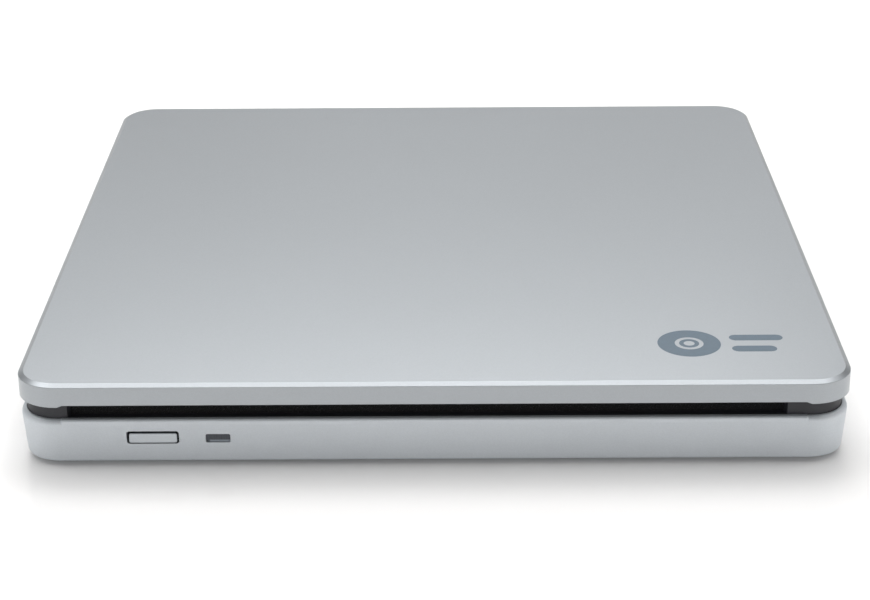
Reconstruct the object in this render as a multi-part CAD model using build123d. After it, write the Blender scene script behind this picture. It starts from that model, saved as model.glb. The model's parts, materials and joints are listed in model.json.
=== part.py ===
from build123d import *
import math
import os

# External slot-loading optical drive: a flat silver casing of a lid and a tub, a charcoal frame between
# them that holds the disc slot, and inside it a slim slot-loading drive with its own sheet-metal case.
# Row frame: millimetres, +X to the right of someone facing the slot, +Y to the rear, +Z up. The origin is
# the centre of the footprint, at the level the rubber feet stand on.

# ---- casing -----------------------------------------------------------------------------------------
WIDTH = 142.0
DEPTH = 148.0
CORNER_R = 7.2
FOOT_H = 0.8  # how far the feet hold the tub off the table
TOP_Z = 15.5
TOP_BEVEL_RUN, TOP_BEVEL_DROP = 0.9, 0.5
LID_PLATE = 1.3
LID_SKIRT = 1.0
LID_LOW_Z = 11.35  # lower edge of the lid's skirt
SLOT_HEAD_Z = 11.7  # lower edge of the skirt above the disc slot
RIM_Z = 8.85  # upper edge of the tub
RIM_INSET = 0.1  # the tub is this much smaller than the lid, each side
RIM_ROUND = 0.9
DRAFT = math.tan(math.radians(4.5))  # the tub's walls lean in towards the bottom
FLOOR_TOP_Z = 2.0
CAVITY_INSET = 2.0  # lid's outline to the inside of the tub's wall
REBATE_Z = 7.1  # step inside the tub's wall that the frame stands on
REBATE_INSET = 1.05
LIP_HALF = 63.4  # the tub's lip and the lid's notch below and above the slot
LIP_Z = 8.95
LIP_STEP_Z = 8.08

# ---- frame between the shells, and the disc slot ------------------------------------------------------
FRAME_INSET = 1.15
FRAME_WALL = 1.45
FRAME_Z = (7.2, 14.1)
SLOT_X = -1.2  # the drive and its slot sit this far off the casing's centre line
SLOT_HALF = 60.9
SLOT_FLARE = 0.4
SLOT_Z = (8.95, 11.75)
FELT_Y = (-71.35, -70.75)
FELT_SPLIT_Z = 10.35

# ---- front controls ------------------------------------------------------------------------------------
BUTTON_X, BUTTON_Z = -47.75, 5.48
BUTTON_HOLE = (8.9, 2.45)
BUTTON_CAP = (8.15, 1.75)
BUTTON_TRAVEL = 0.4
LED_X, LED_Z = -36.7, 5.27
LED_HOLE = (4.2, 1.67)
FRONT_BOARD_Y = (-68.6, -67.8)

# ---- rear socket ------------------------------------------------------------------------------------------
USB_X, USB_Z = 46.0, 4.9
BRIDGE_BOARD_Z = (2.15, 2.95)

# ---- fasteners and feet ---------------------------------------------------------------------------------
CASE_SCREWS = [(sx * 64.8, sy * 69.2) for sx in (-1, 1) for sy in (-1, 1)]
DRIVE_SCREWS = [(SLOT_X + sx * 65.6, y) for sx in (-1, 1) for y in (-40.0, 30.0)]
FEET = [(sx * 56.0, sy * 59.0) for sx in (-1, 1) for sy in (-1, 1)]
FOOT_R = 5.0
FOOT_POCKET = 0.5

# ---- slim drive: sheet-metal case ---------------------------------------------------------------------------
SHEET = 0.6
CASE_HALF = 63.6
CASE_Y = (-67.2, 58.8)
CASE_FLOOR_Z = (3.4, 4.0)
CASE_TOP_Z = (12.3, 12.8)
DISC_Y = -4.0  # the spindle's place along Y, with a 120 mm disc in the drive

# ---- traverse: local A axis runs from the spindle to the pivot, B lies across it ------------------------------
TRAVERSE_TURN = 135.0
PIVOT_A, PIVOT_Z = 70.0, 6.6
DROP = 1.7  # how far the spindle sinks to let a disc pass over it
TILT_DEG = math.degrees(math.asin(DROP / PIVOT_A))
PLATE_Z = (7.2, 8.0)
ROD_Z, ROD_R = 6.5, 1.0
MAIN_ROD_B, SUB_ROD_B = 12.5, -16.0
SCREW_B, SCREW_Z, SCREW_R, SCREW_LEAD = 17.0, 6.4, 1.1, 3.0
SLED_MOTOR_R = 2.15
TURNTABLE_Z = 9.2
HUB_TOP_Z = 11.1
SLED_HOME_R = 23.0  # lens to spindle axis, at the inner end of the sled's travel
SLED_TRAVEL = 34.0
RUN_GAP = 0.05  # radial gap of every running fit
CAM_PIN_R, CAM_PIN_Z = 0.5, 7.6
CAM_PIN_BS = (-13.0, 13.0)

# ---- loading mechanism -----------------------------------------------------------------------------------------
SLIDER_A = (-28.6, -27.4)  # upright cam wall of the slider
SLIDER_B = (-34.0, 30.0)
SLIDER_Z = (4.1, 8.5)
SLIDER_FLANGE_Z = (4.1, 4.9)
SLIDER_TRAVEL = 12.0
RACK_A = -33.5
GEAR_B = 2.0
RACK_MODULE, PINION_TEETH = 0.6, 14
WHEEL_MODULE, WHEEL_TEETH = 0.4, 32
PINION_R = RACK_MODULE * PINION_TEETH / 2
WHEEL_R = WHEEL_MODULE * WHEEL_TEETH / 2
WORM_R = 1.6
WHEEL_Z = (5.6, 6.6)
WORM_Z = 6.1
ARM_Z = (8.6, 9.2)
ARM_STUD_R = 1.5
EJECT_PIVOT = (50.0, 47.0)
EJECT_ARM_LENGTH, EJECT_ARM_DEG = 38.1, 202.2
SIDE_PIVOT = (57.0, -12.0)
SIDE_ARM_LENGTH, SIDE_ARM_DEG = 41.0, 275.6

DRIVE_FRAME = Pos(SLOT_X, DISC_Y, 0)
TRAVERSE_LEVEL = DRIVE_FRAME * Rot(0, 0, TRAVERSE_TURN)
TRAVERSE_FRAME = (
    TRAVERSE_LEVEL * Pos(PIVOT_A, 0, PIVOT_Z) * Rot(0, -TILT_DEG, 0) * Pos(-PIVOT_A, 0, -PIVOT_Z)
)


# ---- shape helpers ------------------------------------------------------------------------------------------------
def prism(sketch, z):
    """A sketch drawn in XY, made solid between the two heights."""
    return extrude(Pos(0, 0, z[0]) * sketch, amount=z[1] - z[0], dir=(0, 0, 1))


def block(x, y, z):
    """A box given by its lowest and highest place along each axis."""
    return Pos((x[0] + x[1]) / 2, (y[0] + y[1]) / 2, (z[0] + z[1]) / 2) * Box(
        x[1] - x[0], y[1] - y[0], z[1] - z[0]
    )


def post(x, y, radius, z):
    return prism(Pos(x, y) * Circle(radius), z)


def rod(start, end, radius):
    """A round bar between two points."""
    a, b = Vector(*start), Vector(*end)
    return Solid.make_cylinder(radius, (b - a).length, Plane(origin=a, z_dir=b - a))


def outline(inset):
    """The casing's rounded outline, drawn in by a distance."""
    return RectangleRounded(WIDTH - 2 * inset, DEPTH - 2 * inset, CORNER_R - inset)


def bar_y(sketch, x, z, y):
    """A sketch drawn facing the front, made solid along Y from the first place to the second."""
    face = Plane(origin=(x, y[0], z), x_dir=(1, 0, 0), z_dir=(0, -1, 0)) * sketch
    return extrude(face, amount=y[1] - y[0], dir=(0, 1, 0))


def front_hole(x, z, size, radius, y):
    """A rounded rectangular bar along Y, to cut or to fill an opening in the front wall."""
    return bar_y(RectangleRounded(*size, radius), x, z, y)


def wall_y(z):
    """Where the tub's front face is at a height."""
    return -(DEPTH / 2 - RIM_INSET - DRAFT * (RIM_Z - z))


def group(pieces):
    """Separate solids that share one node."""
    return Compound(children=list(pieces))


def save(name, shape):
    export_step(shape, f"parts/{name}.step")


# ---- casing ---------------------------------------------------------------------------------------------------------
def top_cover():
    """Lid: a bevelled plate with a thin skirt, cut back above the slot, and four blind screw posts."""
    edge_z = TOP_Z - TOP_BEVEL_DROP
    lid = prism(outline(0), (LID_LOW_Z, edge_z))
    lid += loft([Pos(0, 0, edge_z) * outline(0), Pos(0, 0, TOP_Z) * outline(TOP_BEVEL_RUN)], ruled=True)
    lid = fillet([e for e in lid.edges() if abs(e.center().Z - edge_z) < 0.01 and e.length > 1], 0.1)
    lid -= prism(outline(LID_SKIRT), (LID_LOW_Z, TOP_Z - LID_PLATE))
    notch = Polygon((-LIP_HALF - 0.2, LID_LOW_Z), (LIP_HALF + 0.2, LID_LOW_Z), (LIP_HALF - 0.7, SLOT_HEAD_Z),
                    (-LIP_HALF + 0.7, SLOT_HEAD_Z), align=None)
    lid -= bar_y(notch, 0, 0, (-DEPTH / 2 - 1, -DEPTH / 2 + 2))
    for x, y in CASE_SCREWS:
        lid += post(x, y, 1.6, (7.4, TOP_Z - LID_PLATE))
        lid -= post(x, y, 0.65, (7.4, 12.5))
    for y in (-45.0, -15.0, 15.0, 45.0):
        lid += block((-60, 60), (y - 0.4, y + 0.4), (13.1, TOP_Z - LID_PLATE))
    return lid


def tub_outer():
    """The tub's leaning outside, rounded along its foot and rim, with the lip under the slot."""
    lean = DRAFT * (RIM_Z - FOOT_H)
    tub = loft([Pos(0, 0, FOOT_H) * outline(RIM_INSET + lean), Pos(0, 0, RIM_Z) * outline(RIM_INSET)],
               ruled=True)
    tub = fillet(tub.faces().sort_by(Axis.Z)[0].edges(), 0.45)
    tub = fillet(tub.faces().sort_by(Axis.Z)[-1].edges(), RIM_ROUND)
    proud = 0.07
    lip = block((-LIP_HALF, LIP_HALF), (wall_y(LIP_STEP_Z) - proud, -72.5), (LIP_STEP_Z, LIP_Z))
    lip = fillet(lip.edges().filter_by(Axis.X).group_by(Axis.Z)[-1].sort_by(Axis.Y)[0], 0.5)
    lip = chamfer(lip.edges().filter_by(Axis.Z).group_by(Axis.Y)[0], 0.4)
    return tub + lip


def base_shell():
    """Tub: floor, leaning walls with a rebate for the frame, openings, screw posts and foot pockets."""
    shell = tub_outer()
    shell -= prism(outline(CAVITY_INSET), (FLOOR_TOP_Z, REBATE_Z))
    shell -= prism(outline(REBATE_INSET), (REBATE_Z, LIP_Z + 1))
    for x, y in CASE_SCREWS:
        shell += post(x, y, 2.0, (FLOOR_TOP_Z - 0.1, 7.2))
        shell -= post(x, y, 0.9, (FOOT_H, 7.3)) + post(x, y, 1.6, (FOOT_H, 1.9))
    for x, y in DRIVE_SCREWS:
        shell += post(x, y, 1.6, (FLOOR_TOP_Z - 0.1, CASE_FLOOR_Z[0]))
        shell -= post(x, y, 0.7, (FLOOR_TOP_Z - 0.4, CASE_FLOOR_Z[0] + 0.1))
    for x, y in FEET:
        shell -= post(x, y, FOOT_R + 0.1, (FOOT_H - 0.1, FOOT_H + FOOT_POCKET))
    for x in (-40.0, 0.0, 40.0):
        shell += block((x - 0.4, x + 0.4), (-50, 50), (FLOOR_TOP_Z - 0.1, FLOOR_TOP_Z + 0.5))
    shell -= block((-30, 30), (-16, 26), (FOOT_H - 0.1, FOOT_H + 0.2))
    shell -= front_hole(BUTTON_X, BUTTON_Z, BUTTON_HOLE, 0.5, (-75, -71))
    shell -= front_hole(LED_X, LED_Z, LED_HOLE, 0.3, (-75, -71))
    shell -= front_hole(USB_X, USB_Z, (8.6, 4.5), 0.7, (71, 75))
    for x in (USB_X - 18, USB_X + 12):
        shell += post(x, 66.0, 1.5, (FLOOR_TOP_Z - 0.1, BRIDGE_BOARD_Z[0]))
        shell -= post(x, 66.0, 0.6, (FLOOR_TOP_Z - 0.4, BRIDGE_BOARD_Z[0] + 0.1))
    return shell


def mid_frame():
    """Charcoal ring that stands in the tub's rebate, keeps the shells apart and holds the disc slot."""
    ring = prism(outline(FRAME_INSET), FRAME_Z) - prism(outline(FRAME_INSET + FRAME_WALL), FRAME_Z)
    front, back = -(DEPTH / 2 - FRAME_INSET), -(DEPTH / 2 - FRAME_INSET - FRAME_WALL)
    slot = Polygon((SLOT_X - SLOT_HALF, front - 1), (SLOT_X + SLOT_HALF, front - 1),
                   (SLOT_X + SLOT_HALF, front), (SLOT_X + SLOT_HALF - SLOT_FLARE, back),
                   (SLOT_X + SLOT_HALF - SLOT_FLARE, back + 1), (SLOT_X - SLOT_HALF + SLOT_FLARE, back + 1),
                   (SLOT_X - SLOT_HALF + SLOT_FLARE, back), (SLOT_X - SLOT_HALF, front), align=None)
    return ring - prism(slot, SLOT_Z)


def slot_felts():
    """Dust seal: two strips glued behind the frame, whose edges nearly meet at the slot's middle."""
    x = (SLOT_X - 62.2, SLOT_X + 62.2)
    upper = block(x, FELT_Y, (FELT_SPLIT_Z + 0.05, 12.6))
    return group([upper, block(x, FELT_Y, (8.4, FELT_SPLIT_Z - 0.05))])


def rubber_feet():
    return group(
        fillet(post(x, y, FOOT_R, (0, FOOT_H + FOOT_POCKET)).edges().group_by(Axis.Z)[0], 0.3) for x, y in FEET)


def pan_screw(x, y, head_z, tip_z, head_r, shank_r, head_h):
    """A screw with a cross recess. head_z is the outer face of its head, and tip_z the end of its shank."""
    way = 1 if tip_z > head_z else -1
    head = post(x, y, head_r, sorted((head_z, head_z + way * head_h)))
    shank = post(x, y, shank_r, sorted((head_z + way * head_h, tip_z)))
    depth = sorted((head_z, head_z + way * 0.4 * head_h))
    arm = head_r * 0.62
    cross = block((x - arm, x + arm), (y - 0.16, y + 0.16), depth)
    cross += block((x - 0.16, x + 0.16), (y - arm, y + arm), depth)
    return head + shank - cross


def casing_screws():
    return group(pan_screw(x, y, FOOT_H + 0.15, 12.0, 1.5, 0.6, 0.9) for x, y in CASE_SCREWS)


def drive_screws():
    return group(pan_screw(x, y, 4.8, 1.8, 1.4, 0.65, 0.75) for x, y in DRIVE_SCREWS)


def label_plate():
    """Blank identity label in its recess under the tub."""
    return prism(Pos(0, 5) * RectangleRounded(59.4, 41.4, 1.0), (FOOT_H + 0.05, FOOT_H + 0.2))


# ---- front controls ---------------------------------------------------------------------------------------------------
def eject_button():
    """Key cap with a flange behind the wall and a stem that reaches the switch."""
    cap = front_hole(BUTTON_X, BUTTON_Z - 0.2, BUTTON_CAP, 0.35, (wall_y(BUTTON_Z) + 0.1, -71.8))
    cap = fillet(cap.faces().sort_by(Axis.Y)[0].edges(), 0.15)
    flange = front_hole(BUTTON_X, BUTTON_Z, (10.2, 3.4), 0.5, (-71.9, -71.2))
    stem = front_hole(BUTTON_X, BUTTON_Z, (2.0, 1.2), 0.2, (-71.3, -70.1))
    return cap + flange + stem


def led_window():
    """Smoked light pipe, set back in its opening."""
    pane = front_hole(LED_X, LED_Z, (LED_HOLE[0] - 0.1, LED_HOLE[1] - 0.1), 0.25, (wall_y(LED_Z) + 0.35, -71.8))
    return pane + front_hole(LED_X, LED_Z, (5.4, 2.7), 0.3, (-71.9, -70.6))


def front_board():
    return block((-60, -30), FRONT_BOARD_Y, (2.6, 8.2)) - block((-60.1, -57), (-70, -60), (6.5, 8.3))


def eject_switch():
    body = block((BUTTON_X - 1.8, BUTTON_X + 1.8), (-69.5, FRONT_BOARD_Y[0]), (BUTTON_Z - 1.4, BUTTON_Z + 1.4))
    return body - rod((BUTTON_X, -69.6, BUTTON_Z), (BUTTON_X, -68.9, BUTTON_Z), 0.65)


def switch_plunger():
    return rod((BUTTON_X, -70.1, BUTTON_Z), (BUTTON_X, -69.35, BUTTON_Z), 0.6)


def status_led():
    lens = front_hole(LED_X, LED_Z, (1.2, 0.8), 0.2, (-70.0, -69.2))
    return lens + block((LED_X - 1.0, LED_X + 1.0), (-69.3, FRONT_BOARD_Y[0]), (LED_Z - 0.6, LED_Z + 0.6))


# ---- rear socket and its board ------------------------------------------------------------------------------------------
def usb_outline(grow):
    """Five-pin mini socket outline: wide above, drawn in below."""
    w, h, low = 3.45 + grow, 1.55 + grow, 2.5 + grow
    return Polygon((-w, h), (w, h), (w, 0.1), (low, -h), (-low, -h), (-w, 0.1), align=None)


def usb_bar(grow, y):
    return bar_y(usb_outline(grow), USB_X, USB_Z, y)


def usb_shell():
    """Folded metal shell with solder tabs."""
    shell = usb_bar(0.35, (64.0, 72.9)) - usb_bar(0, (64.4, 73.0))
    for side in (-1, 1):
        x = USB_X + side * 4.25
        shell += block((x - 0.5, x + 0.5), (66.0, 68.0), (BRIDGE_BOARD_Z[1], BRIDGE_BOARD_Z[1] + 0.35))
        shell += block((x - 0.5, x - 0.2) if side > 0 else (x + 0.2, x + 0.5), (66.0, 68.0),
                       (BRIDGE_BOARD_Z[1], USB_Z + 0.5))
    return shell


def usb_tongue():
    base = usb_bar(-0.02, (64.4, 66.0))
    return base + block((USB_X - 2.3, USB_X + 2.3), (66.0, 71.8), (USB_Z + 0.2, USB_Z + 0.95))


def usb_contacts():
    """Five sprung strips along the underside of the tongue."""
    return group(
        block((USB_X + i * 0.8 - 0.18, USB_X + i * 0.8 + 0.18), (66.05, 71.5), (USB_Z + 0.02, USB_Z + 0.2))
        for i in range(-2, 3))


def bridge_board():
    board = block((22, 62), (60.0, 71.6), BRIDGE_BOARD_Z)
    for x in (USB_X - 18, USB_X + 12):
        board -= post(x, 66.0, 0.8, (2, 3))
    return board


def bridge_screws():
    return group(pan_screw(x, 66.0, 3.65, 1.8, 1.3, 0.55, 0.7) for x in (USB_X - 18, USB_X + 12))


def bridge_chips():
    """Interface chip, crystal, two capacitors and a fuse on the socket's board."""
    z = BRIDGE_BOARD_Z[1]
    return group([
        block((31.5, 38.5), (62.2, 69.2), (z, z + 0.9)),
        block((23.4, 26.6), (68.6, 71.1), (z, z + 1.0)),
        block((51.8, 54.8), (61.5, 63.1), (z, z + 1.3)),
        block((51.8, 54.8), (64.0, 65.6), (z, z + 1.3)),
        block((39.6, 41.2), (69.6, 70.4), (z, z + 0.5)),
    ])


def front_cable():
    """Flat cable from the front board, under the drive, folded over towards the socket's board."""
    thick, high = 0.15, FLOOR_TOP_Z + 0.05
    back = FRONT_BOARD_Y[1]
    along = block((-54, -50), (back, 64), (high, high + thick))
    along += block((-54, -50), (back, back + thick), (high, 5.0))
    across = block((-54, 20.5), (60, 64), (high + thick, high + 2 * thick))
    across += block((20.35, 20.5), (60, 64), (high + thick, 3.65))
    return along + across + block((20.35, 23.0), (60, 64), (3.5, 3.65))


def drive_connector():
    """Plug and socket that join the socket's board to the drive's rear edge."""
    z = BRIDGE_BOARD_Z[1]
    body = block((38.5, 50.5), (58.9, 61.2), (z, z + 3.4))
    return body - block((40.0, 49.0), (58.8, 60.0), (z + 1.2, z + 2.2))


# ---- the slim drive's case -------------------------------------------------------------------------------------------------
def on_drive(shape):
    return Pos(SLOT_X, 0, 0) * shape


def traverse_opening():
    return TRAVERSE_LEVEL * Polygon((-19.8, -22.6), (60, -22.6), (65.5, -19), (65.5, 19.5), (60, 22.8),
                                    (-19.8, 22.8), align=None)


def lower_case():
    """Folded tray: floor with the traverse's opening, side, rear and front flanges, tabs and pivot ears."""
    y0, y1 = CASE_Y
    inner = CASE_HALF - SHEET
    tray = block((-CASE_HALF, CASE_HALF), CASE_Y, CASE_FLOOR_Z)
    for side in (-1, 1):
        tray += block(sorted((side * inner, side * CASE_HALF)), CASE_Y, (CASE_FLOOR_Z[0], 12.2))
    tray += block((-CASE_HALF, CASE_HALF), (y1 - SHEET, y1), (CASE_FLOOR_Z[0], 12.2))
    tray += block((-CASE_HALF, CASE_HALF), (y0, y0 + SHEET), (CASE_FLOOR_Z[0], 8.3))
    tray = on_drive(tray) - prism(traverse_opening(), (3, 5))
    for x, y in DRIVE_SCREWS:
        side = 1 if x > 0 else -1
        edge = SLOT_X + side * (CASE_HALF - 0.1)
        tray += block(sorted((edge, x + side * 1.6)), (y - 2.5, y + 2.5), CASE_FLOOR_Z)
        tray -= post(x, y, 0.8, (3, 5))
    for side in (-1, 1):
        ear = block((PIVOT_A - 2.0, PIVOT_A + 2.0), sorted((side * 14.0, side * 15.6)), (CASE_FLOOR_Z[0], 8.6))
        ear -= rod((PIVOT_A, side * 13, PIVOT_Z), (PIVOT_A, side * 17, PIVOT_Z), 1.7)
        tray += TRAVERSE_LEVEL * ear
    return tray


def upper_case():
    """Folded cover with the ring that a disc is pressed against, and stiffening beads."""
    y0, y1 = CASE_Y
    outer = CASE_HALF + 0.05
    cover = block((-outer - 0.5, outer + 0.5), (y0, y1 + 0.05), CASE_TOP_Z)
    for side in (-1, 1):
        cover += block(sorted((side * outer, side * (outer + 0.5))), (y0, y1 + 0.05), (9.6, CASE_TOP_Z[1]))
    cover -= Pos(0, DISC_Y, 0) * post(0, 0, 8.0, (12, 13))
    ring = post(0, 0, 22.0, (11.7, CASE_TOP_Z[1])) - post(0, 0, 15.0, (11.6, 13))
    groove = post(0, 0, 21.5, (12.2, 13)) - post(0, 0, 15.5, (12.2, 13))
    cover += Pos(0, DISC_Y, 0) * ring
    cover -= Pos(0, DISC_Y, 0) * groove
    for x in (-44.0, 44.0):
        cover -= block((x - 1.5, x + 1.5), (-50, 44), (12.55, 13))
    return on_drive(cover)


def pivot_bushes():
    """Rubber bushes in the case's ears that carry the traverse's pivot pins."""
    bushes = []
    for side in (-1, 1):
        start, end = (PIVOT_A, side * 14.0, PIVOT_Z), (PIVOT_A, side * 15.6, PIVOT_Z)
        bushes.append(TRAVERSE_LEVEL * (rod(start, end, 1.69) - rod(start, end, ROD_R + RUN_GAP)))
    return group(bushes)


# ---- traverse: frame, rods, sled drive ------------------------------------------------------------------------------------------
def traverse_frame():
    """Cast frame: a window plate with rod blocks, motor posts, pivot pins and two cam pins."""
    edge = Polygon((-22, -22), (60, -21.5), (67, -19), (67.4, -13.4), (72, -13.4), (72, 13.4), (67.4, 13.4),
                   (67, 20), (60, 22), (-22, 22), align=None)
    plate = prism(edge, PLATE_Z)
    plate -= post(0, 0, 15.2, (7, 9)) + block((10, 65.2), (-18.5, 19.5), (7, 9))
    for b in (-21.0, 21.0):
        plate += block((-16, 58), (b - 0.4, b + 0.4), (6.3, PLATE_Z[1]))
    for b in (-16.4, 12.5):
        plate += block((9.0, 13.5), (b - 1.0, b + 1.0), PLATE_Z)
    for b in (MAIN_ROD_B, SUB_ROD_B):
        for a in ((13.0, 15.0), (66.0, 67.6)):
            plate += block(a, (b - 2.0, b + 2.0), (5.0, PLATE_Z[1]))
        plate -= rod((13.1, b, ROD_Z), (67.3, b, ROD_Z), ROD_R)
    plate += block((55.0, 66.2), (18.6, 20.6), (5.2, PLATE_Z[1]))
    plate -= rod((55.0, SCREW_B, SCREW_Z), (66.0, SCREW_B, SCREW_Z), SLED_MOTOR_R)
    plate += block((9.6, 11.4), (SCREW_B - 1.9, SCREW_B + 4.5), (5.0, PLATE_Z[1]))
    plate -= rod((9, SCREW_B, SCREW_Z), (12, SCREW_B, SCREW_Z), 0.6 + RUN_GAP)
    for a, b in MOTOR_POSTS:
        plate += post(a, b, 1.6, (5.9, PLATE_Z[1]))
        plate -= post(a, b, 0.5, (5.8, 7.4))
    for side in (-1, 1):
        plate += rod((PIVOT_A, side * 13.0, PIVOT_Z), (PIVOT_A, side * 15.7, PIVOT_Z), ROD_R)
        plate += block((68.5, 71.5), sorted((side * 11.4, side * 13.4)), (PIVOT_Z - 1.2, PLATE_Z[1]))
    for b in CAM_PIN_BS:
        plate += rod((-21.0, b, CAM_PIN_Z), (-28.4, b, CAM_PIN_Z), CAM_PIN_R)
        plate += block((-23.5, -21.0), (b - 1.5, b + 1.5), (PLATE_Z[0] - 0.4, PLATE_Z[1] + 0.2))
    return plate


def guide_rods():
    """The main rod and the thinner-loaded sub rod that the sled runs on."""
    return group(rod((13.1, b, ROD_Z), (67.3, b, ROD_Z), ROD_R) for b in (MAIN_ROD_B, SUB_ROD_B))


def sled_motor():
    """Stepping motor that turns the lead screw, with its end cap and terminals."""
    can = rod((56.0, SCREW_B, SCREW_Z), (65.0, SCREW_B, SCREW_Z), SLED_MOTOR_R - 0.01)
    can -= rod((55.9, SCREW_B, SCREW_Z), (57.5, SCREW_B, SCREW_Z), 0.75)
    tail = rod((64.9, SCREW_B, SCREW_Z), (65.8, SCREW_B, SCREW_Z), 1.2)
    return can + tail + block((60.0, 63.0), (SCREW_B - 1.5, SCREW_B + 1.5), (4.05, 5.0))


def thread(lead, turns, radius, root_half, tip_half, height):
    """A helical ridge about +Z that starts at Z 0, for a core of the given radius."""
    path = Helix(pitch=lead, height=lead * turns, radius=radius)
    at = Plane(origin=path @ 0, x_dir=(1, 0, 0), z_dir=path % 0)
    ridge = at * Polygon((-0.25, -root_half), (height, -tip_half), (height, tip_half), (-0.25, root_half),
                         align=None)
    return sweep(ridge, path=path, is_frenet=True)


def along_a(shape, a, b, z):
    """Turns a shape modelled about +Z so that it lies along the traverse's A axis."""
    return Pos(a, b, z) * Rot(0, 90, 0) * shape


def lead_screw():
    """Coarse-pitch screw with a bearing tip at the spindle end and a shaft in the motor."""
    start = 12.3
    core = rod((start, SCREW_B, SCREW_Z), (55.7, SCREW_B, SCREW_Z), SCREW_R - 0.35)
    tip = rod((10.0, SCREW_B, SCREW_Z), (start, SCREW_B, SCREW_Z), 0.6)
    shaft = rod((55.6, SCREW_B, SCREW_Z), (57.3, SCREW_B, SCREW_Z), 0.7)
    ridge = thread(SCREW_LEAD, 14, SCREW_R - 0.35, 0.95, 0.8, 0.35)
    return core + tip + shaft + along_a(ridge, start + 0.6, SCREW_B, SCREW_Z)


# ---- spindle -----------------------------------------------------------------------------------------------------------------------
MOTOR_POSTS = [(17.0 * math.cos(math.radians(d)), 17.0 * math.sin(math.radians(d))) for d in (100, 180, 260)]


def spindle_base():
    """Thin steel plate under the motor with three ears, and the bearing sleeve."""
    plate = post(0, 0, 14.0, (5.4, 5.9))
    for a, b in MOTOR_POSTS:
        plate += prism(make_hull([Pos(a, b) * Circle(1.9).edge(), Pos(a * 0.6, b * 0.6) * Circle(3).edge()]),
                       (5.4, 5.9))
        plate -= post(a, b, 0.6, (5, 6))
    return plate + post(0, 0, 2.2, (5.8, 8.1)) - post(0, 0, 1.0 + RUN_GAP, (5.6, 8.2))


def spindle_stator():
    """Laminated core of nine poles with its windings."""
    core = post(0, 0, 4.6, (6.3, 7.7)) - post(0, 0, 2.25, (6.2, 7.8))
    for i in range(9):
        pole = block((4.2, 8.6), (-0.6, 0.6), (6.6, 7.4)) + block((8.2, 9.4), (-2.2, 2.2), (6.6, 7.4))
        coil = block((5.2, 8.1), (-1.15, 1.15), (6.2, 7.8))
        core += Rot(0, 0, i * 40) * (pole + coil)
    return core + post(0, 0, 3.0, (5.9, 6.4)) - post(0, 0, 2.25, (5.8, 8))


def motor_screws():
    return group(TRAVERSE_FRAME * pan_screw(a, b, 4.85, 7.3, 1.1, 0.48, 0.55) for a, b in MOTOR_POSTS)


def spindle_rotor():
    """Cup over the stator, shaft in the sleeve, and the turntable's rim."""
    cup = post(0, 0, 11.0, (6.3, 8.8)) - post(0, 0, 10.2, (6.2, 8.3))
    return cup + post(0, 0, 13.5, (8.5, TURNTABLE_Z - 0.3)) + post(0, 0, 1.0, (5.7, 8.8))


def turntable_mat():
    return post(0, 0, 13.2, (TURNTABLE_Z - 0.3, TURNTABLE_Z)) - post(0, 0, 9.6, (8, 10))


def clamp_hub():
    """Centring boss that fits a disc's hole, with a window for each catch."""
    hub = fillet(post(0, 0, 7.3, (TURNTABLE_Z - 0.3, HUB_TOP_Z)).edges().group_by(Axis.Z)[-1], 0.5)
    for i in range(3):
        hub -= Rot(0, 0, i * 120) * block((3.6, 8.0), (-1.5, 1.5), (HUB_TOP_Z - 1.1, HUB_TOP_Z - 0.25))
    return hub


def clamp_catch(index):
    """One sprung catch, whose sloping nose holds the edge of a disc's hole."""
    nose = block((4.6, 7.85), (-1.35, 1.35), (HUB_TOP_Z - 1.05, HUB_TOP_Z - 0.3))
    nose = chamfer(nose.edges().filter_by(Axis.Y).group_by(Axis.X)[-1], 0.36)
    return Rot(0, 0, index * 120) * nose


# ---- optical pickup ---------------------------------------------------------------------------------------------------------------------
def sled():
    """Cast pickup body with two bushes on the main rod, a fork on the sub rod and a well for the lens."""
    r = SLED_HOME_R
    body = block((r - 7.5, r + 7.5), (-13.0, 10.6), (5.2, 7.9))
    body -= block((r - 5.0, r + 5.0), (-6.5, 6.5), (6.0, 8.0))
    body += block((r - 6.5, r - 3.5), (10.0, 15.0), (4.9, 7.8))
    body += block((r + 3.5, r + 6.5), (10.0, 14.4), (4.9, 7.8))
    body -= rod((0, MAIN_ROD_B, ROD_Z), (80, MAIN_ROD_B, ROD_Z), ROD_R + RUN_GAP)
    body += block((r - 2.0, r + 2.0), (-17.6, -12.8), (5.1, 7.9))
    return body - block((r - 3.0, r + 3.0), (-18.0, SUB_ROD_B + 1.2), (ROD_Z - 1.06, ROD_Z + 1.06))


def rack_follower():
    """Sprung nut whose tooth runs in the lead screw's thread."""
    r = SLED_HOME_R
    foot = block((r - 7.0, r - 3.5), (15.0, 15.6), (5.0, 7.8))
    tooth = block((r - 5.6, r - 4.9), (15.55, 15.86), (6.1, 6.7))
    return foot + tooth


def lens_carrier():
    """Moving lens holder with its coils, inside the sled's well."""
    r = SLED_HOME_R
    carrier = block((r - 3.0, r + 3.0), (-3.4, 3.4), (6.8, 8.0)) - post(r, 0, 2.0, (6.7, 8.1))
    for side in (-1, 1):
        carrier += block((r - 2.4, r + 2.4), sorted((side * 3.3, side * 4.0)), (6.9, 7.8))
    return carrier


def objective_lens():
    """Domed lens in the carrier's bore."""
    dome = post(SLED_HOME_R, 0, 1.99, (7.5, 8.15))
    return fillet(dome.edges().group_by(Axis.Z)[-1], 0.5)


def lens_magnets():
    r = SLED_HOME_R
    return group(block((r - 2.6, r + 2.6), sorted((side * 4.9, side * 6.1)), (6.05, 7.8)) for side in (-1, 1))


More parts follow.
